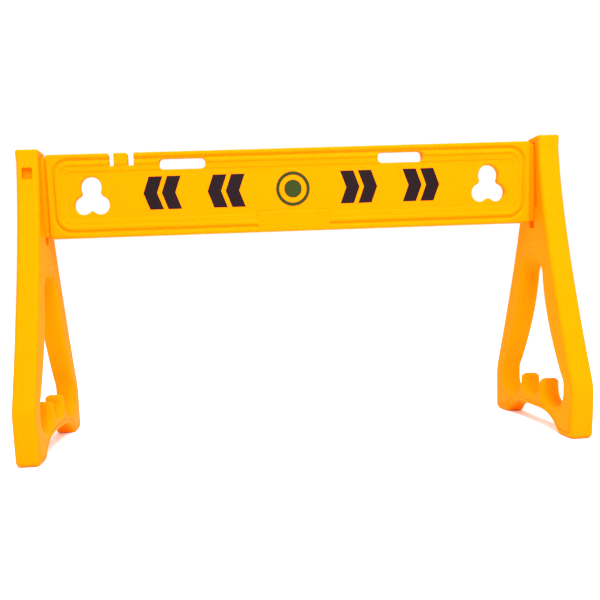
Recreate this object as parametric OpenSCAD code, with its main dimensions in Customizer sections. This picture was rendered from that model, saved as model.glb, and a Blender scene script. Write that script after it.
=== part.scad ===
// Single-rail plastic barricade: a blow-moulded board whose end tongues plug into
// two identical blow-moulded A-shaped legs. Millimetres, +Z up, origin on the floor
// under the middle of the board, +X along the board, -Y towards the front.

/* [Overall] */
// Width over the outer faces of the two legs
overall_w = 1200; // [1000:10:1500]
// Height of the legs
leg_h = 660; // [600:5:720]
// Thickness of the moulded walls
wall = 3.2; // [2.5:0.1:4]

/* [Leg] */
// Thickness of a leg along the board
leg_t = 48; // [42:1:54]
// Depth of the leg's head, front to back
head_depth = 54; // [50:1:64]
// Depth over the two feet, front to back
foot_depth = 350; // [320:5:400]
// Height at which the flare reaches the full depth of the feet
foot_h = 104; // [90:2:120]
// How hollow the flare of the legs is, 1 is a straight A
flare_power = 1.4; // [1.2:0.02:1.5]
// Rounding of the sole's outer corner
foot_r = 12; // [8:1:16]
// Rounding of the head's corners
head_r = 8; // [5:1:10]
// Height at which the round top of the A-shaped opening begins
apex_z = 346; // [330:2:360]
// Rise of that round top
apex_rise = 43; // [36:1:46]
// Half depth of the opening where its round top begins
apex_half = 42; // [36:1:44]
// Height below which the opening widens
widen_z = 373; // [365:1:380]
// Widening of the half depth from there down to the feet
widen = 96; // [90:1:100]
// How hollow the sides of the opening are, 1 is straight
widen_power = 1.7; // [1.5:0.05:1.9]
// Depth of the opening where it meets the saddles
opening_foot_depth = 252; // [244:2:260]

/* [Crossbar and foot arch] */
// Radius of the middle saddle
mid_saddle_r = 32; // [28:1:34]
// Height of the bottom of the middle saddle
mid_saddle_z = 67; // [64:1:72]
// Radius of the two outer saddles
side_saddle_r = 37; // [34:1:38]
// Height of the bottom of the outer saddles
side_saddle_z = 55; // [50:1:60]
// Height of the centre of the round ridges between the saddles
ridge_z = 101.5; // [98:0.5:104]
// Height of the arch under the crossbar
arch_h = 40; // [34:1:44]
// Width of that arch at the floor
arch_w = 234; // [220:2:244]

/* [Square recess in the leg] */
// Width of the recess
recess_w = 22; // [18:1:26]
// Height of the recess
recess_h = 27; // [20:1:32]
// Height of the middle of the recess
recess_z = 607; // [600:1:615]
// Distance of the recess floor from the middle plane of the leg
recess_floor = 21; // [20:0.5:23]

/* [Board] */
// Thickness of the board
board_t = 22; // [20:1:26]
// Height of the board
board_h = 181; // [170:1:186]
// Height of the board's bottom edge above the floor
board_z = 469; // [460:1:474]
// Gap between the board's shoulder and a leg
shoulder_gap = 10; // [8:1:14]
// Radius of the board's corners
board_r = 5; // [3:1:10]
// Width of the raised rim and its mouldings, from the edge to the flat field
rim_w = 40; // [36:1:44]
// Radius of the flat field's corners
field_r = 8; // [6:1:12]
// How far the flat field lies below the rim
field_drop = 3.5; // [2:0.5:4]
// Distance of the moulded groove from the edge
groove_in = 9; // [7:1:14]
// Width of the moulded groove
groove_w = 8; // [5:1:10]
// Depth of the moulded groove
groove_d = 2.5; // [1:0.5:3]
// Width of the plain pad that interrupts the lower groove
pad_w = 160; // [120:5:200]
// How far the groove ends on either side of a hand slot
slot_pad = 6; // [4:1:10]

/* [Openings in the board] */
// Distance of the trefoil holes from the middle
trefoil_x = 447; // [430:1:450]
// Height of the trefoil's upper lobe above the board's bottom edge
trefoil_z = 110; // [104:1:112]
// Radius of the trefoil's upper lobe
trefoil_top_r = 23.4; // [20:0.2:24]
// Radius of the trefoil's lower lobes
trefoil_low_r = 20.4; // [18:0.2:22]
// Distance of the lower lobes from the trefoil's middle line
trefoil_spread = 18.4; // [17:0.2:20]
// Distance of the lower lobes below the upper lobe
trefoil_drop = 38.8; // [36:0.2:40]
// Fillet between the upper lobe and a lower lobe
trefoil_neck_r = 9; // [6:0.5:12]
// Fillet between the two lower lobes
trefoil_cusp_r = 5; // [4.5:0.5:8]
// Distance of the hand slots from the middle
slot_x = 244; // [220:0.5:260]
// Length of a hand slot
slot_w = 102; // [90:1:110]
// Height of a hand slot
slot_h = 24; // [20:1:26]
// Radius of a hand slot's corners
slot_r = 9; // [6:1:11]
// Distance of the slot's middle below the board's top edge
slot_down = 26; // [24:1:30]
// Place along the board of the notch nearer its left end
outer_notch_x = -399.5; // [-404:0.5:-396]
// Width of that notch
outer_notch_w = 11; // [8:0.5:13]
// Place along the board of the other notch
inner_notch_x = -357; // [-361:0.5:-353]
// Width of the other notch
inner_notch_w = 13; // [9:0.5:15]
// Depth of the notches
notch_d = 27; // [20:1:30]

/* [Tongue and mortise] */
// Length of a tongue beyond the board's shoulder
tongue_l = 44; // [40:1:46]
// Thickness of a tongue, a solid pinched flange
tongue_t = 7; // [6:0.5:8]
// How much lower than the board a tongue is, at its top and at its bottom
tongue_in = 4; // [3:0.5:7]
// Clearance between a tongue and its mortise, all round
fit_gap = 0.6; // [0.4:0.1:0.8]
// Depth of the wedge-shaped mouth around the mortise
mouth_d = 10; // [6:1:12]
// Width of the mouth at its top
mouth_top_w = 19; // [16:1:22]
// Width of the mouth just above its step
mouth_low_w = 40; // [30:1:44]
// Height of that step
mouth_step_z = 503; // [495:1:510]
// Width of the mouth just below its step
mouth_neck_w = 23; // [18:1:26]
// Height of the mouth's bottom
mouth_foot_z = 456; // [450:1:462]

/* [Printed marks] */
// Height of the black chevrons
mark_h = 72; // [60:1:76]
// Width of one double chevron
mark_w = 84; // [70:1:88]
// Distance from the middle to the two outer double chevrons
mark_far_x = 291; // [280:1:296]
// Distance from the middle to the two inner double chevrons
mark_near_x = 149; // [140:1:156]
// Outer radius of the green roundel
roundel_r = 38; // [32:1:40]
// Thickness of the printed films
film_t = 0.3; // [0.2:0.1:0.5]

/* [Hidden] */
$fn = 64;
safety_yellow = "#f9c30b";
print_black = "#1e1210";
print_green = "#2f3d17";

shoulder_x = overall_w / 2 - leg_t - shoulder_gap;
leg_in_x = overall_w / 2 - leg_t;
notch = [[outer_notch_x, outer_notch_w], [inner_notch_x, inner_notch_w]];
board_top = board_z + board_h;
board_mid_z = board_z + board_h / 2;
tongue_z0 = board_z + tongue_in;
tongue_top = board_top - tongue_in;
field_y = board_t / 2 - field_drop;
field_w = 2 * shoulder_x - 2 * rim_w;
field_h = board_h - 2 * rim_w;
board_cavity_t = 2 * (field_y - wall);
slot_z = board_top - slot_down;
mark_z = board_mid_z + 2;
side_saddle_y = opening_foot_depth / 2 - side_saddle_r;
ridge_r = (side_saddle_y - side_saddle_r - mid_saddle_r) / 2;
ridge_y = mid_saddle_r + ridge_r;
saddle_top_z = side_saddle_z + side_saddle_r;
leg_steps = 28;
wall_steps = 14;
blend = 3;
chevron_stroke = 0.36;
chevron_pitch = 0.48;
ring_bore = 0.8;
disc_share = 0.52;

// Points on an arc from angle a to angle b around a centre
function arc(centre, r, a, b, n) =
    [for (i = [0:n]) centre + r * [cos(a + (b - a) * i / n), sin(a + (b - a) * i / n)]];

// Smooth lower envelope of two values, rounded over about s
function soft_min(p, q, s) = -s * ln(exp(-p / s) + exp(-q / s));

// Half depth of the leg at height z: a power curve from head to foot
function flare(z) = head_depth / 2 + ((foot_depth - head_depth) / 2 + blend)
    * pow((leg_h - z) / (leg_h - foot_h), flare_power);
function foot_side(z) = foot_depth / 2 - blend * pow(max(0, foot_h - z) / foot_h, 2);
function leg_half(z) = soft_min(flare(z), foot_side(z), blend);

// Half depth of the A-shaped opening at height z
function opening_half(z) = soft_min(opening_foot_depth / 2, apex_half
    + widen * pow(max(0, widen_z - z) / (widen_z - foot_h), widen_power), blend);

// Height of the arch under the crossbar at depth y
function arch_z(y) = arch_h * (1 - pow(abs(y) / (arch_w / 2), 4));

function mirrored(points) = [for (i = [len(points) - 1:-1:0]) [-points[i][0], points[i][1]]];

// Right half of the leg's outline, from the middle of the arch to the middle of the head
leg_right = concat(
    [for (i = [0:14]) let (y = arch_w / 2 * sin(90 * i / 14)) [y, arch_z(y)]],
    arc([leg_half(foot_r) - foot_r, foot_r], foot_r, -90, -8, 5),
    [for (i = [1:leg_steps]) let (z = foot_r + (leg_h - head_r - foot_r) * i / leg_steps)
        [leg_half(z), z]],
    arc([head_depth / 2 - head_r, leg_h - head_r], head_r, 15, 90, 4));
leg_outline = concat(leg_right, mirrored([for (i = [1:len(leg_right) - 1]) leg_right[i]]));

// Right half of the opening, from the middle saddle to the top of its round head
opening_right = concat(
    arc([0, mid_saddle_z + mid_saddle_r], mid_saddle_r, -90, 0, 8),
    arc([ridge_y, ridge_z], ridge_r, 180, 0, 7),
    arc([side_saddle_y, saddle_top_z], side_saddle_r, 180, 350, 13),
    [for (i = [1:wall_steps]) let (z = saddle_top_z + (apex_z - saddle_top_z) * i / wall_steps)
        [opening_half(z), z]],
    [for (i = [1:8]) let (a = 90 * i / 8, z = apex_z + apex_rise * sin(a))
        [opening_half(z) * cos(a), z]]);
opening_outline = concat(opening_right,
    mirrored([for (i = [1:len(opening_right) - 2]) opening_right[i]]));

// The same outline moved sideways by d, to its left for a positive d
function unit(v) = v / norm(v);
function left_of(v) = [-v[1], v[0]];
function moved(points, d) = let (n = len(points)) [for (i = [0:n - 1])
    let (a = left_of(unit(points[i] - points[(i + n - 1) % n])),
        b = left_of(unit(points[(i + 1) % n] - points[i])))
    points[i] + d * (a + b) / (1 + a * b)];

// Stands an outline drawn as depth and height up in the Y-Z plane, between x0 and x1
module upright(x0, x1) {
    translate([x0, 0, 0]) rotate([90, 0, 90]) linear_extrude(x1 - x0) children();
}

// A box given by its two opposite corners
module span(low, high) {
    translate(low) cube(high - low);
}

// Rectangle with round corners around the middle of the board, standing in X-Z
module slab(w, h, r, t, z) {
    translate([0, t / 2, z]) rotate([90, 0, 0]) linear_extrude(t) {
        square([w - 2 * r, h], center = true);
        square([w, h - 2 * r], center = true);
        for (x = [-1, 1], y = [-1, 1])
            translate([x * (w / 2 - r), y * (h / 2 - r)]) circle(r);
    }
}

// Mortise for a tongue in the left leg, grown by g on every side
module mortise_space(g) {
    y = tongue_t / 2 + fit_gap + g;
    z0 = tongue_z0 - fit_gap - g;
    z1 = tongue_top + fit_gap + g;
    x_end = -shoulder_x - tongue_l - fit_gap - g;
    span([x_end, -y, z0], [-leg_in_x + 1, y, z1]);
}

// Wedge-shaped mouth around the mortise, wide just above its step, grown by g
module mouth_space(g) {
    top = mouth_top_w / 2 + g;
    low = mouth_low_w / 2 + g;
    neck = mouth_neck_w / 2 + g;
    half = [[top, tongue_top + fit_gap + g], [low, mouth_step_z - g], [neck, mouth_step_z - g],
        [top, mouth_foot_z - g]];
    upright(-leg_in_x - mouth_d - g, -leg_in_x + 1) polygon(concat(half, mirrored(half)));
}

// Square recess in the front slope of the left leg, grown by g
module recess_space(g) {
    x = -overall_w / 2 + leg_t / 2;
    span([x - recess_w / 2 - g, -head_depth, recess_z - recess_h / 2 - g],
        [x + recess_w / 2 + g, -recess_floor + g, recess_z + recess_h / 2 + g]);
}

module leg_moulding() {
    x0 = -overall_w / 2;
    x1 = -leg_in_x;
    difference() {
        upright(x0, x1) difference() {
            polygon(leg_outline);
            polygon(opening_outline);
        }
        difference() {
            upright(x0 + wall, x1 - wall) difference() {
                polygon(moved(leg_outline, wall));
                polygon(moved(opening_outline, -wall));
            }
            mortise_space(wall);
            mouth_space(wall);
            recess_space(wall);
        }
        mortise_space(0);
        mouth_space(0);
        recess_space(0);
    }
}

module left_leg() {
    color(safety_yellow) leg_moulding();
}

module right_leg() {
    color(safety_yellow) rotate([0, 0, 180]) leg_moulding();
}

// Centre of the circle of radius f that touches circles a, of radius ra, and b, of radius rb
function touching(a, ra, b, rb, f) = let (d = norm(b - a), u = unit(b - a),
    along = (pow(ra + f, 2) - pow(rb + f, 2) + d * d) / (2 * d))
    a + along * u + sqrt(pow(ra + f, 2) - along * along) * left_of(u);
function heading(v) = atan2(v[1], v[0]);

// Trefoil grown by g, through the thickness t: three round lobes with filleted corners
module trefoil(x, g, t) {
    lobe = [trefoil_spread, -trefoil_drop];
    neck = touching([0, 0], trefoil_top_r, lobe, trefoil_low_r, trefoil_neck_r);
    cusp = touching(lobe, trefoil_low_r, [-lobe[0], lobe[1]], trefoil_low_r, trefoil_cusp_r);
    up = heading(neck - lobe);
    side = heading(neck);
    down = heading(lobe - cusp);
    half = concat(
        arc(cusp, trefoil_cusp_r - g, 90, down, 3),
        arc(lobe, trefoil_low_r + g, down - 180, up, 12),
        arc(neck, trefoil_neck_r - g, up + 180, side + 180, 5),
        arc([0, 0], trefoil_top_r + g, side, 90, 7));
    translate([x, t / 2, board_z + trefoil_z]) rotate([90, 0, 0]) linear_extrude(t)
        polygon(concat(half, mirrored([for (i = [1:len(half) - 2]) half[i]])));
}

// Hand slot with round corners, grown by g
module hand_slot(x, g, t) {
    translate([x, 0, 0]) slab(slot_w + 2 * g, slot_h + 2 * g, slot_r + g, t, slot_z);
}

// Notch open at the board's top edge, grown by g
module top_notch(n, g, t) {
    span([n[0] - n[1] / 2 - g, -t / 2, board_top - notch_d - g],
        [n[0] + n[1] / 2 + g, t / 2, board_top + 1]);
}

module board_holes(g, t) {
    for (s = [-1, 1]) {
        trefoil(s * trefoil_x, g, t);
        hand_slot(s * slot_x, g, t);
    }
    for (n = notch) top_notch(n, g, t);
}

// Moulded relief of one face: the flat field and the groove in the rim
module face_relief() {
    y = -board_t / 2;
    inner = groove_in + groove_w;
    translate([0, y, 0]) slab(field_w, field_h, field_r, 2 * field_drop, board_mid_z);
    difference() {
        translate([0, y, 0]) slab(2 * (shoulder_x - groove_in), board_h - 2 * groove_in,
            field_r + rim_w - groove_in, 2 * groove_d, board_mid_z);
        slab(2 * (shoulder_x - inner), board_h - 2 * inner, field_r + rim_w - inner,
            2 * board_t, board_mid_z);
        span([-pad_w / 2, -board_t, board_z], [pad_w / 2, 0, board_mid_z]);
        for (s = [-1, 1]) span([s * slot_x - slot_w / 2 - slot_pad, -board_t, slot_z - slot_h],
            [s * slot_x + slot_w / 2 + slot_pad, 0, board_top]);
    }
}

module tongues() {
    for (s = [0, 180]) rotate([0, 0, s])
        span([shoulder_x - wall, -tongue_t / 2, tongue_z0],
            [shoulder_x + tongue_l, tongue_t / 2, tongue_top]);
}

module board() {
    color(safety_yellow) difference() {
        union() {
            slab(2 * shoulder_x, board_h, board_r, board_t, board_mid_z);
            tongues();
        }
        face_relief();
        rotate([0, 0, 180]) face_relief();
        board_holes(0, 2 * board_t);
        difference() {
            slab(2 * (shoulder_x - wall), board_h - 2 * wall, board_r, board_cavity_t,
                board_mid_z);
            board_holes(wall, 2 * board_t);
        }
    }
}

// Double chevron printed on the front field, pointing to the side s
module chevrons(x, s) {
    stroke = mark_w * chevron_stroke;
    pitch = mark_w * chevron_pitch;
    lean = mark_w - pitch - stroke;
    color(print_black) translate([x, -field_y, mark_z]) rotate([90, 0, 0])
        linear_extrude(film_t) for (i = [0, 1])
            translate([s * (i * pitch - mark_w / 2), 0])
                polygon([[0, mark_h / 2], [s * stroke, mark_h / 2],
                    [s * (stroke + lean), 0], [s * stroke, -mark_h / 2],
                    [0, -mark_h / 2], [s * lean, 0]]);
}

module roundel_ring() {
    color(print_green) translate([0, -field_y, mark_z]) rotate([90, 0, 0])
        linear_extrude(film_t) difference() {
            circle(roundel_r);
            circle(roundel_r * ring_bore);
        }
}

module roundel_disc() {
    color(print_green) translate([0, -field_y, mark_z]) rotate([90, 0, 0])
        linear_extrude(film_t) circle(roundel_r * disc_share);
}

board();
left_leg();
right_leg();
chevrons(-mark_far_x, -1);  // mark_far_left
chevrons(-mark_near_x, -1);  // mark_near_left
chevrons(mark_near_x, 1);  // mark_near_right
chevrons(mark_far_x, 1);  // mark_far_right
roundel_ring();
roundel_disc();
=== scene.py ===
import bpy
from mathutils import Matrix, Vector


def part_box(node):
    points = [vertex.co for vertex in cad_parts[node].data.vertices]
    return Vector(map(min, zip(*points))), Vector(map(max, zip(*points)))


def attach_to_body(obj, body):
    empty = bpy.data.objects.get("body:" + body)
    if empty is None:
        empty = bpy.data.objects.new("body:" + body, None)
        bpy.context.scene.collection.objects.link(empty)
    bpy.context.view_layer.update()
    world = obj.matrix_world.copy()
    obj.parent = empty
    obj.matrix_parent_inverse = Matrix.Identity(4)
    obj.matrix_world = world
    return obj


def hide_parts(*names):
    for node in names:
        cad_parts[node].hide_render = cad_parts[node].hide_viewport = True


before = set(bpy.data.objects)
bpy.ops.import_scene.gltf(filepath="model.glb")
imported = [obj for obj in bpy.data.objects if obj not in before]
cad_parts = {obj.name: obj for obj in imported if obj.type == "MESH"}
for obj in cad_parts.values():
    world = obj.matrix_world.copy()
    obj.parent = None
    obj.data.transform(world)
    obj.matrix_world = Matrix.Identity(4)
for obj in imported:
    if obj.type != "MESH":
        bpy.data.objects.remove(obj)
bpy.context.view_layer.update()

from math import radians

import bpy
import numpy as np
from mathutils import Matrix, Vector
from mathutils.geometry import delaunay_2d_cdt

# ---------------------------------------------------------------- sizes, in metres
board_low, board_high = (np.array(c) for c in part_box("board"))
leg_low, leg_high = (np.array(c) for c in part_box("left_leg"))

# The leg's outline: head, flared sides, soles and the arch between them
LEG_T = leg_high[0] - leg_low[0]
LEG_MID = (leg_low[0] + leg_high[0]) / 2
LEG_H = leg_high[2]
HEAD_DEPTH = 0.054
FOOT_DEPTH = leg_high[1] - leg_low[1]
FOOT_H = 0.104
FLARE_POWER = 1.40
BLEND = 0.003
FOOT_R = 0.012
FOOT_ARC = (-90, -4)
HEAD_R = 0.006
HEAD_ARC = (10, 90)
ARCH_H = 0.040
ARCH_W = 0.234
ARCH_POWER = 4
OUTLINE_PITCH = 0.003

# The leg's opening: round top, widening sides and three saddles with ridges between them
APEX_Z = 0.346
APEX_RISE = 0.043
APEX_HALF = 0.042
WIDEN_Z = 0.373
WIDEN = 0.096
WIDEN_POWER = 1.70
OPENING_FOOT = 0.252
MID_SADDLE_R = 0.032
MID_SADDLE_Z = 0.067
SIDE_SADDLE_R = 0.037
SIDE_SADDLE_Z = 0.055
RIDGE_Z = 0.1015
OPENING_PITCH = 0.0024

# The leg's round edges, smaller at the head and fuller at the saddles
EDGE_R = 0.009
HEAD_EDGE_LESS = 0.0045
HEAD_EDGE_Z = (LEG_H - 0.030, LEG_H - 0.006)
SADDLE_EXTRA_R = 0.0075
SADDLE_EDGE_Z = (0.112, 0.140)

# The leg's faces: a fine groove that leaves a lip round the arch, a slight sink and two ribs
LIP_IN = 0.0115
LIP_D = 0.0020
LIP_HALF_W = 0.0013
LIP_END_Z = (0.062, 0.072)
LIP_OFF_OPENING = (0.006, 0.010)
FACE_SINK = 0.0005
FACE_SINK_IN = (0.012, 0.028)
RIBS_Z = (0.4155, 0.4045)
RIB_H = 0.0008
RIB_HALF_W = 0.0022
RIB_END_Y = (0.040, 0.052)

# Where the leg's net has extra points: near the lip, over the ribs and all over
NET_EDGE_GAP = 0.0093
NET_OPENING_GAP = 0.0003
NET_MOUTH_GAP = 0.005
LIP_NET_TOP = 0.076
LIP_NET_HALF = 0.168
LIP_NET_GAP = 0.012
RIB_NET = ((-0.053, 0.398), (0.054, 0.4225), 0.0014)
LEG_NET = ((-0.17, 0.01), (0.171, 0.66), 0.01)

# The side walls: levels across the thickness, and the height and half width of sink and seam
LEG_LEVELS = (0.06, 0.2, 0.35, 0.46, 0.485, 0.5, 0.515, 0.54, 0.65, 0.8, 0.94)
LEG_SEAM = (0.00035, 0.018)
BOARD_LEVELS = (0.15, 0.35, 0.46, 0.48, 0.5, 0.52, 0.54, 0.65, 0.85)
BOARD_SEAM = (0.0002, 0.02)

# Tongue, mortise and the mouth around the mortise
TONGUE_L = 0.044
TONGUE_T = 0.007
TONGUE_IN = 0.004
TONGUE_R = 0.003
TONGUE_TIP_R = 0.002
TONGUE_ROOT = 0.012
FIT_GAP = 0.0006
MORTISE_R = 0.001
MOUTH_D = 0.010
MOUTH_TOP_W = 0.019
MOUTH_LOW_W = 0.040
MOUTH_STEP_Z = 0.503
MOUTH_NECK_W = 0.023
MOUTH_FOOT_Z = 0.456
MOUTH_CORNER_R = 0.003
MOUTH_EDGE_R = 0.0015
MOUTH_COLLAR = 0.004
MOUTH_RINGS = (0, -0.0003, -0.0007, -0.0016)
MOUTH_WALL_IN = (0.00015, 0.0004, 0.0009, 0.0015)
MOUTH_WALL_D = (0, 0.0075, 0.0082, MOUTH_D - MOUTH_EDGE_R)

# The nearly square recess in the leg's slope
RECESS_W = 0.022
RECESS_H = 0.025
RECESS_Z = 0.607
RECESS_R = 0.004
RECESS_EDGE_R = 0.0015
RECESS_FLOOR = 0.021
RECESS_BEVEL = (0.0012, 0.0008)
RECESS_PAST = (0.006, 0.012)
SLOPE_SPAN = 0.01

# The board's outline, holes and notches
BOARD_W = board_high[0] - board_low[0] - 2 * TONGUE_L
BOARD_T = board_high[1] - board_low[1]
BOARD_H = board_high[2] - board_low[2]
BOARD_Z = board_low[2]
BOARD_TOP = board_high[2]
BOARD_MID = BOARD_Z + BOARD_H / 2
BOARD_R = 0.005
BOARD_EDGE_R = 0.0030
HOLE_EDGE_R = 0.0022
HALF_T_LEAST = 0.002
TREFOIL_X = 0.4473
TREFOIL_Z = BOARD_Z + 0.1095
TREFOIL_TOP_R = 0.0234
TREFOIL_LOW_R = 0.0204
TREFOIL_SPREAD = 0.0184
TREFOIL_DROP = 0.0388
TREFOIL_NECK_R = 0.009
TREFOIL_CUSP_R = 0.006
SLOT_X = 0.2443
SLOT_W = 0.102
SLOT_H = 0.024
SLOT_R = 0.0095
SLOT_Z = BOARD_TOP - 0.026
NOTCHES = ((-0.3995, 0.0113), (-0.357, 0.0136))
NOTCH_D = 0.027
NOTCH_LIP_R = 0.0035
NOTCH_FLOOR_R = 0.003

# The board's relief by inset from its edge, in steps of depth, start and end; and the plain pad
RIM_W = 0.041
FIELD_R = 0.008
GROOVE_D = 0.0042
GROOVE_IN = 0.013
GROOVE_HALF_W = 0.006
RIM_STEPS = ((0.0021, 0.0235, 0.0268), (0.0014, 0.037, 0.0395))
TAB_EASE = 0.002
TAB_FADE = 0.05
PAD_W = 0.160
PAD_TOP = 0.043
PAD_FOOT = 0.0035
PAD_SIDE_EASE = 0.004
PAD_TOP_EASE = 0.003
PAD_SINK = 0.0002

# Where the board's net has extra loops and points; the rim's insets are in millimetres
MM_INSETS = (7, 8, 9.2, 10.5, 12, 13, 14, 15.5, 16.8, 18, 19, 23.2, 24, 24.7, 25.5, 26.3, 27.1,
             36.7, 37.4, 38.2, 39, 39.8)
PAD_GROWTH = (0, 0.001, 0.002, 0.003, 0.004)
EDGE_PITCH = 0.006
SLOT_PITCH = 0.004
RIM_PITCH = 0.010
HOLE_NET_GAP = 0.004
FIELD_NET = ((-0.495, BOARD_Z + 0.045), (0.4951, BOARD_Z + 0.139), (0.009, 0.0092))

# Steps of a quarter-round edge, and the limits of the helpers below
ROUND = np.cos(np.radians([90, 72, 54, 36, 18, 0]))
CHUNK = 2000
MERGE_WITHIN = 1e-6
NEARER = 0.97


# ---------------------------------------------------------------- plane curves
def arc(centre, r, start, end, n):
    """Points on a circle of radius r, from angle start to angle end in degrees."""
    a = np.radians(np.linspace(start, end, n + 1))
    return np.stack([centre[0] + r * np.cos(a), centre[1] + r * np.sin(a)], 1)


def step(value, low, high):
    """Smooth step: 0 below low, 1 above high, 3t^2 - 2t^3 in between."""
    t = np.clip((value - low) / (high - low), 0, 1)
    return t * t * (3 - 2 * t)


def mirrored(points):
    """The points in reverse order with their first coordinate negated."""
    return points[::-1] * [-1, 1]


def evenly(points, spacing):
    """A closed outline walked along its own length in equal steps of about the spacing."""
    ring = np.vstack([points, points[:1]])
    run = np.r_[0, np.cumsum(np.linalg.norm(np.diff(ring, axis=0), axis=1))]
    at = np.linspace(0, run[-1], int(run[-1] / spacing) + 1)[:-1]
    return np.stack([np.interp(at, run, ring[:, 0]), np.interp(at, run, ring[:, 1])], 1)


def outward(points):
    """Unit normals of a counterclockwise outline: its chords turned a quarter to the right."""
    chord = np.roll(points, -1, 0) - np.roll(points, 1, 0)
    normal = np.stack([chord[:, 1], -chord[:, 0]], 1)
    return normal / np.linalg.norm(normal, axis=1, keepdims=True)


def eased(outline, shift):
    """Outline moved outwards by the shifts; points that come nearer to it than that become NaN."""
    moved = outline + outward(outline) * np.broadcast_to(shift, len(outline))[:, None]
    moved[edge_distance(moved, outline) < NEARER * np.abs(shift)] = np.nan
    return moved


def round_rect(half_w, half_h, r, centre=(0, 0), n=6):
    """Counterclockwise rectangle with four quarter-circle corners."""
    corners = [arc((sx * (half_w - r), sz * (half_h - r)), r, a, a + 90, n)
               for sx, sz, a in ((1, -1, -90), (1, 1, 0), (-1, 1, 90), (-1, -1, 180))]
    return np.vstack(corners) + centre


def filleted(points, r, n=5):
    """Outline whose corners are cut back by r along both sides and rounded by a parabola."""
    out = []
    t = np.linspace(0, 1, n + 1)[:, None]
    for before, corner, after in zip(np.roll(points, 1, 0), points, np.roll(points, -1, 0)):
        start = corner + (before - corner) * (r / np.linalg.norm(before - corner))
        end = corner + (after - corner) * (r / np.linalg.norm(after - corner))
        out.append(start * (1 - t) ** 2 + corner * 2 * t * (1 - t) + end * t * t)
    return np.vstack(out)


def rect_distance(p, half_w, half_h, r, centre=(0, 0)):
    """Signed distance from points to a rectangle with round corners, negative inside."""
    q = np.abs(p - np.array(centre)) - [half_w - r, half_h - r]
    return np.linalg.norm(np.maximum(q, 0), axis=1) + np.minimum(q.max(1), 0) - r


def chunks(p):
    """Row numbers of the points in parts of about CHUNK, so that the tables stay small."""
    return np.array_split(np.arange(len(p)), max(1, len(p) // CHUNK))


def edge_distance(p, outline):
    """Distance from each point to the nearest of the outline's straight pieces."""
    a, b = outline, np.roll(outline, -1, 0)
    ab = b - a
    best = np.full(len(p), np.inf)
    for part in chunks(p):
        ap = p[part, None] - a[None]
        t = np.clip((ap * ab).sum(2) / (ab * ab).sum(1), 0, 1)
        best[part] = np.linalg.norm(ap - t[..., None] * ab, axis=2).min(1)
    return best


def inside(p, outline):
    """True where a point lies inside a closed outline, by counting crossings to its right."""
    a, b = outline, np.roll(outline, -1, 0)
    held = np.zeros(len(p), bool)
    for part in chunks(p):
        x, y = p[part, 0, None], p[part, 1, None]
        spans = (a[:, 1] > y) != (b[:, 1] > y)
        rise = np.where(b[:, 1] == a[:, 1], 1, b[:, 1] - a[:, 1])
        cross = a[:, 0] + (y - a[:, 1]) * (b[:, 0] - a[:, 0]) / rise
        held[part] = (spans & (x < cross)).sum(1) % 2 == 1
    return held


def depth_inside(p, outline):
    """Distance to an outline, positive inside it and negative outside."""
    return edge_distance(p, outline) * np.where(inside(p, outline), 1, -1)


def rounding(d, r):
    """Drop of a quarter-round edge of radius r at distance d from the edge."""
    k = np.clip(r - d, 0, r)
    return r - np.sqrt(r * r - k * k)


# ---------------------------------------------------------------- surfaces
def net(loops, spots, keep):
    """Flat triangle net with the loops as edges, broken at NaN; keep() picks triangles by centre."""
    points = np.vstack([*loops, spots])
    starts = np.cumsum([0] + [len(loop) for loop in loops])
    edges = np.vstack([np.stack([np.arange(len(loop)), np.roll(np.arange(len(loop)), -1)], 1) + s
                       for loop, s in zip(loops, starts)])
    there = ~np.isnan(points[:, 0])
    place = np.cumsum(there) - 1
    edges = place[edges[there[edges].all(1)]]
    flat, _, faces = delaunay_2d_cdt([Vector(p) for p in points[there]], edges.tolist(), [], 0,
                                     MERGE_WITHIN)[:3]
    flat, faces = np.array([tuple(p) for p in flat]), np.array(faces)
    faces = faces[keep(flat[faces].mean(1))]
    used, faces = np.unique(faces, return_inverse=True)
    return flat[used], faces.reshape(-1, 3)


def border(faces):
    """Directed edges that only one triangle has."""
    edges = np.vstack([faces[:, [0, 1]], faces[:, [1, 2]], faces[:, [2, 0]]])
    size = faces.max() + 1
    return edges[~np.isin(edges @ [size, 1], edges @ [1, size])]


def border_normals(flat, edges):
    """Outward plane normal at each border vertex, the mean of its two border edges' normals."""
    chord = flat[edges[:, 1]] - flat[edges[:, 0]]
    side = np.stack([chord[:, 1], -chord[:, 0]], 1)
    side /= np.maximum(np.linalg.norm(side, axis=1, keepdims=True), 1e-12)
    total = np.zeros_like(flat)
    np.add.at(total, edges[:, 0], side)
    np.add.at(total, edges[:, 1], side)
    return total / np.maximum(np.linalg.norm(total, axis=1, keepdims=True), 1e-12)


class Shell:
    """Collects points and faces of one closed surface, in plane coordinates and a height."""

    def __init__(self):
        self.points, self.faces, self.count = [], [], 0

    def layer(self, flat, height):
        """Adds a copy of the flat points at their heights, and returns its first index."""
        self.points.append(np.column_stack([flat, np.broadcast_to(height, len(flat))]))
        self.count += len(flat)
        return self.count - len(flat)

    def sheet(self, faces, first, flipped=False):
        """Adds triangles over a layer, turned over for the far side."""
        self.faces += ((faces[:, ::-1] if flipped else faces) + first).tolist()

    def walls(self, edges, layers):
        """Quads between successive layers along the directed border edges."""
        for low, high in zip(layers[:-1], layers[1:]):
            self.faces += np.column_stack([edges[:, 1] + low, edges[:, 0] + low,
                                           edges[:, 0] + high, edges[:, 1] + high]).tolist()


def attach(piece, name):
    """Links a yellow piece, which rides on the body of that name and replaces the node of that name."""
    bpy.context.scene.collection.objects.link(piece)
    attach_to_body(piece, name)
    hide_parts(name)


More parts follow.
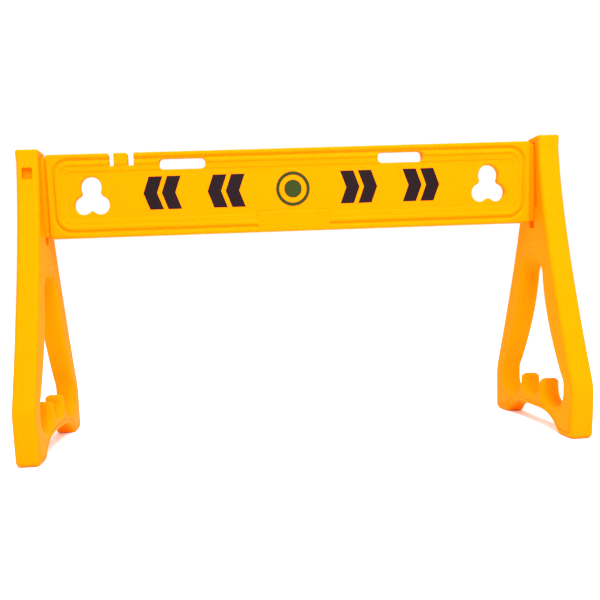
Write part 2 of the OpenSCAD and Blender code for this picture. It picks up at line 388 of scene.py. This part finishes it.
def moulding(name, points, faces, material):
    """Smooth yellow mesh at the origin, without loose points, attached as that body and node."""
    points, faces = np.asarray(points, float), [list(f) for f in faces]
    used = np.unique(np.concatenate([np.array(f) for f in faces]))
    place = np.full(len(points), -1)
    place[used] = np.arange(len(used))
    mesh = bpy.data.meshes.new(name + "_moulding")
    mesh.from_pydata(points[used].tolist(), [], [place[f].tolist() for f in faces])
    mesh.validate()
    mesh.shade_smooth()
    mesh.materials.append(material)
    piece = bpy.data.objects.new(name + "_moulding", mesh)
    attach(piece, name)
    return piece


def bar(loops):
    """Points and faces of a skin over successive loops of equal length, capped at both ends."""
    n, rings = len(loops[0]), len(loops)
    grid = np.arange(n * rings).reshape(rings, n)
    a, b = grid[:-1], grid[1:]
    quads = np.stack([a, np.roll(a, -1, 1), np.roll(b, -1, 1), b], -1).reshape(-1, 4).tolist()
    return np.vstack(loops), quads + [grid[0, ::-1].tolist(), grid[-1].tolist()]


def wall_offset(t, seam):
    """Plane offset of a side wall at t across it: sunk by a fourth power, raised at the mould seam."""
    height, half_width = seam
    return -height * (1 - np.abs(2 * t - 1) ** 4) + height * np.exp(-((t - 0.5) / half_width) ** 2)


def grid_spots(low, high, pitch):
    """Evenly spaced plane points between two corners, with one pitch or one for each direction."""
    axes = [np.arange(a, b, gap) for a, b, gap in zip(low, high, np.broadcast_to(pitch, 2))]
    return np.stack(np.meshgrid(*axes), -1).reshape(-1, 2)


# ---------------------------------------------------------------- the legs
def soft_min(a, b):
    """Lower of two lengths, blended over about 3 mm where they meet."""
    return -BLEND * np.logaddexp(-a / BLEND, -b / BLEND)


def leg_half(z):
    """Half depth at height z: head depth plus a power of the way down, softly capped at the feet."""
    down = np.clip((LEG_H - z) / (LEG_H - FOOT_H), 0, None)
    flare = HEAD_DEPTH / 2 + ((FOOT_DEPTH - HEAD_DEPTH) / 2 + BLEND) * down ** FLARE_POWER
    return soft_min(flare, FOOT_DEPTH / 2 - BLEND * (np.maximum(0, FOOT_H - z) / FOOT_H) ** 2)


def opening_half(z):
    """Half depth of the opening at height z: the top's half depth plus a power of the way down."""
    down = np.maximum(0, WIDEN_Z - z) / (WIDEN_Z - FOOT_H)
    return soft_min(APEX_HALF + WIDEN * down ** WIDEN_POWER, OPENING_FOOT / 2)


def leg_outline():
    """Arch under the crossbar, sole, flared side and head, then the same mirrored."""
    y = ARCH_W / 2 * np.sin(np.linspace(0, np.pi / 2, 40))
    z = np.linspace(FOOT_R, LEG_H - HEAD_R, 160)[1:]
    right = np.vstack([
        np.stack([y, ARCH_H * (1 - (y / (ARCH_W / 2)) ** ARCH_POWER)], 1),
        arc((leg_half(FOOT_R) - FOOT_R, FOOT_R), FOOT_R, *FOOT_ARC, 10),
        np.stack([leg_half(z), z], 1),
        arc((HEAD_DEPTH / 2 - HEAD_R, LEG_H - HEAD_R), HEAD_R, *HEAD_ARC, 8)])
    return evenly(np.vstack([right, mirrored(right)[:-1]]), OUTLINE_PITCH)


def opening_outline():
    """Three round saddles with ridges between them, hollow walls, then a squashed round top."""
    side_y = OPENING_FOOT / 2 - SIDE_SADDLE_R
    ridge_r = (side_y - SIDE_SADDLE_R - MID_SADDLE_R) / 2
    base = SIDE_SADDLE_Z + SIDE_SADDLE_R
    z = np.linspace(base, APEX_Z, 70)[1:]
    turn = np.radians(np.linspace(0, 90, 24))[1:]
    top = APEX_Z + APEX_RISE * np.sin(turn)
    right = np.vstack([
        arc((0, MID_SADDLE_Z + MID_SADDLE_R), MID_SADDLE_R, -90, 0, 20),
        arc((MID_SADDLE_R + ridge_r, RIDGE_Z), ridge_r, 180, 0, 16),
        arc((side_y, base), SIDE_SADDLE_R, 180, 360, 36),
        np.stack([opening_half(z), z], 1),
        np.stack([opening_half(top) * np.cos(turn), top], 1)])
    return evenly(np.vstack([right, mirrored(right)[1:-1]]), OPENING_PITCH)


def mouth_outline():
    """Wedge widening downwards to a step, then a narrow foot, with rounded corners."""
    top = BOARD_TOP - TONGUE_IN + FIT_GAP
    half = np.array([(MOUTH_TOP_W / 2, MOUTH_FOOT_Z), (MOUTH_NECK_W / 2, MOUTH_STEP_Z),
                     (MOUTH_LOW_W / 2, MOUTH_STEP_Z), (MOUTH_TOP_W / 2, top)])
    return filleted(np.vstack([half, mirrored(half)]), MOUTH_CORNER_R)


def outer_round(p):
    """Edge radius along the outer outline: full on the sides and soles, small on the head."""
    return EDGE_R - HEAD_EDGE_LESS * step(p[:, 1], *HEAD_EDGE_Z)


def opening_round(p):
    """Edge radius along the opening: that of the sides, growing to full bowls at the saddles."""
    return EDGE_R + SADDLE_EXTRA_R * (1 - step(p[:, 1], *SADDLE_EDGE_Z))


def leg_face(p, outer, opening, inner_side):
    """Half thickness at each point: round edges, the lip's groove, a slight sink and the ribs."""
    edge, gap = edge_distance(p, outer), edge_distance(p, opening)
    height = LEG_T / 2 - rounding(edge, outer_round(p)) - rounding(gap, opening_round(p))
    low = 1 - step(p[:, 1], *LIP_END_Z)
    lip = np.exp(-((edge - LIP_IN) / LIP_HALF_W) ** 2) * low * step(gap, *LIP_OFF_OPENING)
    height -= LIP_D * lip
    height -= FACE_SINK * step(np.minimum(edge, gap), *FACE_SINK_IN)
    if inner_side:
        across = 1 - step(np.abs(p[:, 0]), *RIB_END_Y)
        for z in RIBS_Z:
            height += RIB_H * np.exp(-((p[:, 1] - z) / RIB_HALF_W) ** 2) * across
    return height


def leg_mesh():
    """The left leg as one closed surface: two faces, side walls and the blind mortise."""
    outer, opening, mouth = leg_outline(), opening_outline(), mouth_outline()
    loops = [eased(outer, -outer_round(outer) * (1 - k)) for k in ROUND[::-1]]
    loops += [eased(opening, opening_round(opening) * (1 - k)) for k in ROUND[::-1]]
    grow = (MOUTH_COLLAR, *MOUTH_EDGE_R * (1 - ROUND[::-1][1:]), *MOUTH_RINGS)
    loops += [mouth + outward(mouth) * g for g in grow]
    slot_half = (BOARD_H - 2 * TONGUE_IN) / 2 + FIT_GAP
    mortise = round_rect(TONGUE_T / 2 + FIT_GAP, slot_half, MORTISE_R, (0, BOARD_MID))
    loops.append(mortise)

    lip = np.vstack([outer - outward(outer) * d for d in LIP_IN + np.arange(-2, 3) / 1000])
    lip = lip[(lip[:, 1] < LIP_NET_TOP) & (np.abs(lip[:, 0]) < LIP_NET_HALF)]
    lip = lip[(depth_inside(lip, outer) > NET_EDGE_GAP) & (depth_inside(lip, opening) < -LIP_NET_GAP)]
    spots = np.vstack([grid_spots(*RIB_NET), grid_spots(*LEG_NET)])
    free = (depth_inside(spots, outer) > NET_EDGE_GAP) & (
        -depth_inside(spots, opening) > opening_round(spots) + NET_OPENING_GAP)
    spots = np.vstack([lip, spots[free & (depth_inside(spots, mouth) < -NET_MOUTH_GAP)]])

    flat, faces = net(loops, spots, lambda c: inside(c, outer) & ~inside(c, opening))
    hole = inside(flat[faces].mean(1), mortise)
    half = leg_face(flat, outer, opening, False)
    face = leg_face(flat, outer, opening, True)
    deep = depth_inside(flat, mouth)
    face -= rounding(np.maximum(-deep, 0), MOUTH_EDGE_R)
    face -= np.interp(deep, MOUTH_WALL_IN, MOUTH_WALL_D)

    shell = Shell()
    front = shell.layer(flat, face)
    rear = shell.layer(flat, -half)
    floor = shell.layer(flat, board_low[0] - FIT_GAP - LEG_MID)
    shell.sheet(faces[~hole], front)
    shell.sheet(faces, rear, flipped=True)
    shell.sheet(faces[hole], floor)
    rim = border(faces)
    normal = border_normals(flat, rim)
    levels = [front]
    for t in LEG_LEVELS:
        side = flat + normal * wall_offset(t, LEG_SEAM)
        levels.append(shell.layer(side, face * (1 - t) - half * t))
    shell.walls(rim, levels + [rear])
    shell.walls(border(faces[hole]), [floor, front])
    return np.vstack(shell.points), shell.faces


def recess_cutter():
    """Recess cutter: round-cornered rings from its floor out to a mouth that flares by its radius."""
    flare = RECESS_EDGE_R
    a = np.radians(np.linspace(0, 82, 7))
    rings = [(-RECESS_FLOOR, -RECESS_BEVEL[0]), (-RECESS_FLOOR - RECESS_BEVEL[1], 0.0)]
    out = leg_half(RECESS_Z)
    rings += list(zip(-(out - flare) - flare * np.sin(a), flare * (1 - np.cos(a))))
    rings.append((-out - RECESS_PAST[0], RECESS_PAST[1]))
    lean = (leg_half(RECESS_Z - SLOPE_SPAN) - leg_half(RECESS_Z + SLOPE_SPAN)) / (2 * SLOPE_SPAN)
    loops = []
    for y, g in rings:
        loop = round_rect(RECESS_W / 2 + g, RECESS_H / 2 + g, RECESS_R + g, (LEG_MID, RECESS_Z))
        tilt = lean * (loop[:, 1] - RECESS_Z) * step(-y, RECESS_FLOOR, out - flare)
        loops.append(np.stack([loop[:, 0], y + tilt, loop[:, 1]], 1))
    return bar(loops)


def cut(piece, points, faces):
    """Takes a closed cutter out of the piece and leaves the result as its own mesh."""
    mesh = bpy.data.meshes.new("cutter")
    mesh.from_pydata(points.tolist(), [], faces)
    tool = bpy.data.objects.new("cutter", mesh)
    bpy.context.scene.collection.objects.link(tool)
    bpy.context.view_layer.update()
    modifier = piece.modifiers.new("cut", "BOOLEAN")
    modifier.object, modifier.operation, modifier.solver = tool, "DIFFERENCE", "EXACT"
    graph = bpy.context.evaluated_depsgraph_get()
    result = bpy.data.meshes.new_from_object(piece.evaluated_get(graph))
    piece.modifiers.clear()
    piece.data = result
    bpy.data.objects.remove(tool)


def make_legs(material):
    """Both legs from one moulding; the right one is the left one turned half a turn."""
    points, faces = leg_mesh()
    left = np.stack([LEG_MID + points[:, 2], points[:, 0], points[:, 1]], 1)
    piece = moulding("left_leg", left, faces, material)
    cut(piece, *recess_cutter())
    twin = piece.data.copy()
    twin.transform(Matrix.Rotation(np.pi, 4, "Z"))
    attach(bpy.data.objects.new("right_leg_moulding", twin), "right_leg")


# ---------------------------------------------------------------- the board
def touching(a, ra, b, rb, r):
    """Centre of a circle of radius r that touches two circles, on the left of the way from a to b."""
    way = b - a
    far = np.linalg.norm(way)
    along = ((ra + r) ** 2 - (rb + r) ** 2 + far ** 2) / (2 * far)
    way /= far
    return a + along * way + np.sqrt((ra + r) ** 2 - along ** 2) * np.array([-way[1], way[0]])


def heading(v):
    """Angle of a plane vector in degrees."""
    return np.degrees(np.arctan2(v[1], v[0]))


def trefoil(x, grow):
    """Three round lobes with filleted corners between them, moved outwards by grow."""
    lobe = np.array([TREFOIL_SPREAD, -TREFOIL_DROP])
    neck = touching(np.zeros(2), TREFOIL_TOP_R, lobe, TREFOIL_LOW_R, TREFOIL_NECK_R)
    cusp = touching(lobe, TREFOIL_LOW_R, lobe * [-1, 1], TREFOIL_LOW_R, TREFOIL_CUSP_R)
    up, side, down = heading(neck - lobe), heading(neck), heading(lobe - cusp)
    half = np.vstack([
        arc(cusp, TREFOIL_CUSP_R - grow, 90, down, 5),
        arc(lobe, TREFOIL_LOW_R + grow, down - 180, up, 26)[1:],
        arc(neck, TREFOIL_NECK_R - grow, up + 180, side + 180, 8)[1:],
        arc((0, 0), TREFOIL_TOP_R + grow, side, 90, 14)[1:]])
    return np.vstack([half, mirrored(half)[1:-1]]) + [x, TREFOIL_Z]


def board_outline():
    """Counterclockwise edge of the board, with the two notches let into its top edge."""
    rect = round_rect(BOARD_W / 2, BOARD_H / 2, BOARD_R, (0, BOARD_MID))
    top, lip, bottom = BOARD_TOP, NOTCH_LIP_R, NOTCH_FLOOR_R
    dents = []
    for x, w in sorted(NOTCHES, reverse=True):
        dents += [arc((x + w / 2 + lip, top - lip), lip, 90, 180, 5),
                  arc((x + w / 2 - bottom, top - NOTCH_D + bottom), bottom, 0, -90, 4),
                  arc((x - w / 2 + bottom, top - NOTCH_D + bottom), bottom, -90, -180, 4),
                  arc((x - w / 2 - lip, top - lip), lip, 0, 90, 5)]
    corner = len(rect) // 2
    return np.vstack([rect[:corner], *dents, rect[corner:]])


def split(points, spacing):
    """The outline with points added where its straight pieces are longer than the spacing."""
    ring = np.vstack([points, points[:1]])
    out = []
    for a, b in zip(ring[:-1], ring[1:]):
        n = max(1, int(np.linalg.norm(b - a) / spacing))
        out.append(a + (b - a) * (np.arange(n) / n)[:, None])
    return np.vstack(out)


def field_rect(grow, n=6):
    """Outline of the sunk field, moved outwards by grow."""
    half_w, half_h = BOARD_W / 2 - RIM_W, BOARD_H / 2 - RIM_W
    return round_rect(half_w + grow, half_h + grow, FIELD_R + grow, (0, BOARD_MID), n)


def relief(p):
    """Depths of the groove, one cosine wave, and of the two smooth steps, by inset from the edge."""
    half_w, half_h = BOARD_W / 2 - RIM_W, BOARD_H / 2 - RIM_W
    inset = RIM_W - rect_distance(p, half_w, half_h, FIELD_R, (0, BOARD_MID))
    across = np.clip((inset - GROOVE_IN) / GROOVE_HALF_W, -1, 1)
    groove = GROOVE_D * (0.5 + 0.5 * np.cos(np.pi * across))
    return groove, sum(depth * step(inset, start, end) for depth, start, end in RIM_STEPS)


def face_depth(p, front):
    """Depth below the rim, without the groove between the notches and on the front's plain pad."""
    groove, steps = relief(p)
    tab_left, tab_right = NOTCHES[0][0], NOTCHES[1][0]
    tab = step(p[:, 0], tab_left - TAB_EASE, tab_left) * (
        1 - step(p[:, 0], tab_right, tab_right + TAB_EASE))
    groove = groove * (1 - tab * step(p[:, 1], BOARD_MID, BOARD_MID + TAB_FADE))
    if front:
        pad = (1 - step(np.abs(p[:, 0]), PAD_W / 2, PAD_W / 2 + PAD_SIDE_EASE)) * (
            1 - step(p[:, 1], BOARD_Z + PAD_TOP, BOARD_Z + PAD_TOP + PAD_TOP_EASE))
        groove, steps = groove * (1 - pad), steps * (1 - pad) + PAD_SINK * pad
    return groove + steps


def pad_loop(grow):
    """Rectangle round the plain pad, from near the board's lower edge, widened by grow."""
    half, foot = PAD_W / 2 + grow, BOARD_Z + PAD_FOOT
    head = BOARD_Z + PAD_TOP + grow * PAD_TOP_EASE / PAD_SIDE_EASE
    return np.array([[-half, foot], [half, foot], [half, head], [-half, head]])


def board_mesh():
    """The board as one closed surface: two relief faces joined round the edge and the holes."""
    outline = split(board_outline(), EDGE_PITCH)
    loops = [outline - outward(outline) * BOARD_EDGE_R * (1 - k) for k in ROUND[::-1]]
    holes = []
    for side in (-1, 1):
        grow = HOLE_EDGE_R * np.array([*(1 - ROUND[::-1]), 1.5])
        rings = [trefoil(side * TREFOIL_X, g) for g in grow]
        slots = [split(round_rect(SLOT_W / 2 + g, SLOT_H / 2 + g, SLOT_R + g,
                                  (side * SLOT_X, SLOT_Z)), SLOT_PITCH) for g in grow]
        loops += rings + slots
        holes += [rings[0], slots[0]]
    loops += [split(field_rect(RIM_W - inset / 1000, 12), RIM_PITCH) for inset in MM_INSETS]
    loops += [pad_loop(grow) for grow in PAD_GROWTH]

    def solid(c):
        """True where a plane point lies on the board and outside its holes."""
        keep = inside(c, loops[0])
        for hole in holes:
            keep &= ~inside(c, hole)
        return keep

    spots = grid_spots(*FIELD_NET)
    clear = np.min([edge_distance(spots, hole) for hole in holes], axis=0) > HOLE_NET_GAP
    clear &= solid(spots)
    flat, faces = net(loops, spots[clear], solid)
    drop = rounding(edge_distance(flat, loops[0]), BOARD_EDGE_R)
    for hole in holes:
        drop = np.maximum(drop, rounding(edge_distance(flat, hole), HOLE_EDGE_R))
    front_y, rear_y = (BOARD_T / 2 - np.minimum(drop + face_depth(flat, is_front),
                                                BOARD_T / 2 - HALF_T_LEAST)
                       for is_front in (True, False))
    shell = Shell()
    front = shell.layer(flat, front_y)
    rear = shell.layer(flat, -rear_y)
    shell.sheet(faces, front)
    shell.sheet(faces, rear, flipped=True)
    rim = border(faces)
    normal = border_normals(flat, rim)
    levels = [front]
    for t in BOARD_LEVELS:
        side = flat + normal * wall_offset(t, BOARD_SEAM)
        levels.append(shell.layer(side, front_y * (1 - t) - rear_y * t))
    shell.walls(rim, levels + [rear])
    return np.vstack(shell.points), shell.faces


def tongue_loops(side):
    """Round-cornered flat bar from inside the board's end to the tip of its tongue."""
    half_h, tip = BOARD_H / 2 - TONGUE_IN, TONGUE_TIP_R
    x_tip = BOARD_W / 2 + TONGUE_L
    rings = [(BOARD_W / 2 - TONGUE_ROOT, 0.0)]
    rings += list(zip(x_tip - tip + tip * ROUND, tip * (1 - ROUND[::-1])))
    loops = []
    for x, g in rings:
        loop = round_rect(TONGUE_T / 2 - g, half_h - g, TONGUE_R - g, (0, BOARD_MID))
        loops.append(np.stack([np.full(len(loop), x) * side, loop[:, 0] * side, loop[:, 1]], 1))
    return loops


def make_board(material):
    """The board with its two tongues, whose roots lie inside it."""
    points, faces = board_mesh()
    points = np.stack([points[:, 0], -points[:, 2], points[:, 1]], 1)
    for side in (-1, 1):
        more, quads = bar(tongue_loops(side))
        faces += [[i + len(points) for i in quad] for quad in quads]
        points = np.vstack([points, more])
    moulding("board", points, faces, material)


# ---------------------------------------------------------------- materials
# Places of a colour Mix node's colour sockets among all its sockets
MIX_A, MIX_B, MIX_OUT = 6, 7, 2

YELLOW = (0.92, 0.186, 0.0002, 1)
BLACK = (0.010, 0.004, 0.005, 1)
GREEN = (0.022, 0.032, 0.005, 1)
SCUFFED = (0.95, 0.40, 0.03, 1.0)
FLOOR_PALE = (0.98, 0.98, 0.98, 1)
LIGHT_TARGET = (0.0, 0.0, 0.35)


def group(name, inputs, outputs):
    """Empty node group with named sockets; each is (name, kind, default)."""
    tree = bpy.data.node_groups.new(name, "ShaderNodeTree")
    for label, kind, default in inputs:
        socket = tree.interface.new_socket(label, in_out="INPUT", socket_type=kind)
        if default is not None:
            socket.default_value = default
    for label, kind in outputs:
        tree.interface.new_socket(label, in_out="OUTPUT", socket_type=kind)
    return tree, tree.nodes.new("NodeGroupInput"), tree.nodes.new("NodeGroupOutput")


def node(tree, kind, values=None, links=None, **settings):
    """Adds a node, sets its properties and socket values, and links its inputs."""
    made_node = tree.nodes.new(kind)
    for key, value in settings.items():
        setattr(made_node, key, value)
    for key, value in (values or {}).items():
        made_node.inputs[key].default_value = value
    for key, source in (links or {}).items():
        tree.links.new(source, made_node.inputs[key])
    return made_node


def plastic_wear():
    """Group: mottled moulding skin with fine grain, peel and pale scuffs, by object coordinates."""
    tree, given, out = group("moulding_skin", [
        ("Coordinates", "NodeSocketVector", None), ("Colour", "NodeSocketColor", (1, 1, 1, 1)),
        ("Scuffs", "NodeSocketFloat", 0.5)], [
        ("Colour", "NodeSocketColor"), ("Roughness", "NodeSocketFloat"),
        ("Height", "NodeSocketFloat")])
    at = given.outputs["Coordinates"]
    cloud = node(tree, "ShaderNodeTexNoise", {"Scale": 9.0, "Detail": 3.0, "Roughness": 0.55},
                 {"Vector": at})
    grain = node(tree, "ShaderNodeTexNoise", {"Scale": 900.0, "Detail": 2.0}, {"Vector": at})
    peel = node(tree, "ShaderNodeTexNoise", {"Scale": 60.0, "Detail": 2.0}, {"Vector": at})
    along = node(tree, "ShaderNodeMapping", {"Scale": (18.0, 60.0, 420.0)}, {"Vector": at})
    drag = node(tree, "ShaderNodeTexNoise", {"Scale": 1.0, "Detail": 4.0, "Roughness": 0.7},
                {"Vector": along.outputs[0]})
    scratch = node(tree, "ShaderNodeMapRange", {"From Min": 0.62, "From Max": 0.78},
                   {"Value": drag.outputs["Fac"]})
    patch = node(tree, "ShaderNodeMapRange", {"From Min": 0.45, "From Max": 0.7},
                 {"Value": cloud.outputs["Fac"]})
    scuff = node(tree, "ShaderNodeMath", links={0: scratch.outputs[0], 1: patch.outputs[0]},
                 operation="MULTIPLY")
    scuffed = node(tree, "ShaderNodeMath", links={0: scuff.outputs[0], 1: given.outputs["Scuffs"]},
                   operation="MULTIPLY")
    tone = node(tree, "ShaderNodeMapRange", {"To Min": 0.955, "To Max": 1.03},
                {"Value": cloud.outputs["Fac"]})
    mottled = node(tree, "ShaderNodeVectorMath", links={0: given.outputs["Colour"]},
                   operation="SCALE")
    tree.links.new(tone.outputs[0], mottled.inputs["Scale"])
    pale = node(tree, "ShaderNodeMix", data_type="RGBA")
    pale.inputs[MIX_B].default_value = SCUFFED
    tree.links.new(scuffed.outputs[0], pale.inputs["Factor"])
    tree.links.new(mottled.outputs[0], pale.inputs[MIX_A])
    tree.links.new(pale.outputs[MIX_OUT], out.inputs["Colour"])
    gloss = node(tree, "ShaderNodeMapRange", {"To Min": 0.44, "To Max": 0.58},
                 {"Value": peel.outputs["Fac"]})
    rough = node(tree, "ShaderNodeMath", {1: 0.2}, {0: scuffed.outputs[0], 2: gloss.outputs[0]},
                 operation="MULTIPLY_ADD")
    tree.links.new(rough.outputs[0], out.inputs["Roughness"])
    bumps = node(tree, "ShaderNodeMath", {1: 0.25}, {0: grain.outputs["Fac"],
                                                    2: peel.outputs["Fac"]},
                 operation="MULTIPLY_ADD")
    worn = node(tree, "ShaderNodeMath", {1: -0.35}, {0: scuffed.outputs[0],
                                                     2: bumps.outputs[0]},
                operation="MULTIPLY_ADD")
    tree.links.new(worn.outputs[0], out.inputs["Height"])
    return tree


def skin_material(name, skin, colour, scuffs, bump, fixed):
    """Principled surface whose colour, roughness and bump come from the moulding skin."""
    material = bpy.data.materials.new(name)
    material.use_nodes = True
    tree = material.node_tree
    shader = tree.nodes["Principled BSDF"]
    for socket, value in fixed.items():
        shader.inputs[socket].default_value = value
    coords = node(tree, "ShaderNodeTexCoord")
    worn = node(tree, "ShaderNodeGroup", node_tree=skin)
    worn.inputs["Colour"].default_value = colour
    worn.inputs["Scuffs"].default_value = scuffs
    tree.links.new(coords.outputs["Object"], worn.inputs["Coordinates"])
    tree.links.new(worn.outputs["Colour"], shader.inputs["Base Color"])
    tree.links.new(worn.outputs["Roughness"], shader.inputs["Roughness"])
    grain = node(tree, "ShaderNodeBump", {"Strength": bump, "Distance": 0.0006},
                 {"Height": worn.outputs["Height"]})
    tree.links.new(grain.outputs[0], shader.inputs["Normal"])
    return material


def paint(name, material):
    """Gives a CAD node its finished material."""
    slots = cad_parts[name].data.materials
    slots.clear()
    slots.append(material)


# ---------------------------------------------------------------- stage, light, camera
def make_stage():
    """Plain pale floor just under the soles."""
    mesh = bpy.data.meshes.new("floor")
    size, depth = 12.0, 0.0002
    mesh.from_pydata([(-size, -size, -depth), (size, -size, -depth), (size, size, -depth),
                      (-size, size, -depth)], [], [(0, 1, 2, 3)])
    floor = bpy.data.objects.new("floor", mesh)
    pale = bpy.data.materials.new("pale_floor")
    pale.use_nodes = True
    shader = pale.node_tree.nodes["Principled BSDF"]
    shader.inputs["Base Color"].default_value = FLOOR_PALE
    shader.inputs["Roughness"].default_value = 0.8
    mesh.materials.append(pale)
    bpy.context.scene.collection.objects.link(floor)


def make_light(name, place, size, power):
    """Square area light at a place, facing the middle of the barricade."""
    data = bpy.data.lights.new(name, "AREA")
    data.size, data.energy = size, power
    lamp = bpy.data.objects.new(name, data)
    lamp.location = place
    way = Vector(LIGHT_TARGET) - Vector(place)
    lamp.rotation_euler = way.to_track_quat("-Z", "Y").to_euler()
    bpy.context.scene.collection.objects.link(lamp)


def make_world(strength):
    """Even white surroundings of a given strength."""
    world = bpy.data.worlds.new("studio")
    world.use_nodes = True
    backdrop = world.node_tree.nodes["Background"]
    backdrop.inputs["Color"].default_value = (1, 1, 1, 1)
    backdrop.inputs["Strength"].default_value = strength
    bpy.context.scene.world = world


def make_camera(place, yaw, pitch, roll, lens, shift):
    """Camera turned right by yaw from +Y, down by pitch, then rolled about its own axis."""
    forward = Vector((np.sin(yaw) * np.cos(pitch), np.cos(yaw) * np.cos(pitch), -np.sin(pitch)))
    level = Vector((np.cos(yaw), -np.sin(yaw), 0))
    up = level.cross(forward)
    right = level * np.cos(roll) + up * np.sin(roll)
    top = up * np.cos(roll) - level * np.sin(roll)
    data = bpy.data.cameras.new("camera")
    data.sensor_width, data.lens = 36.0, lens
    data.shift_x, data.shift_y = shift
    camera = bpy.data.objects.new("camera", data)
    turn = Matrix((right, top, -forward)).transposed().to_4x4()
    camera.matrix_world = Matrix.Translation(place) @ turn
    bpy.context.scene.collection.objects.link(camera)
    bpy.context.scene.camera = camera


# ---------------------------------------------------------------- everything together
scene = bpy.context.scene
scene.view_settings.view_transform = "Standard"

make_camera(place=(-0.1597, -1.3310, 0.3461), yaw=radians(2.532), pitch=radians(6.044),
            roll=radians(-2.248), lens=34.78, shift=(0.0765, 0.0805))
make_world(strength=1.03)
make_light("key", place=(0.3, -2.1, 2.9), size=1.7, power=190.0)
make_light("top", place=(0.0, -0.4, 2.9), size=1.2, power=40.0)
make_light("rear", place=(-0.8, 2.4, 2.6), size=1.2, power=35.0)
make_stage()

skin = plastic_wear()
ink = {"IOR": 1.45, "Specular IOR Level": 0.06}
yellow = skin_material("yellow_polyethylene", skin, YELLOW, scuffs=0.35, bump=0.10, fixed={
    "IOR": 1.5, "Specular IOR Level": 0.02, "Specular Tint": (1.0, 0.7, 0.05, 1.0),
    "Subsurface Weight": 0.12, "Subsurface Scale": 0.004, "Subsurface Radius": (1.0, 0.45, 0.08)})
black = skin_material("black_ink", skin, BLACK, scuffs=0.02, bump=0.05, fixed=ink)
green = skin_material("green_ink", skin, GREEN, scuffs=0.02, bump=0.05, fixed=ink)

make_board(yellow)
make_legs(yellow)
for mark in ("mark_far_left", "mark_near_left", "mark_near_right", "mark_far_right"):
    paint(mark, black)
for mark in ("roundel_ring", "roundel_disc"):
    paint(mark, green)
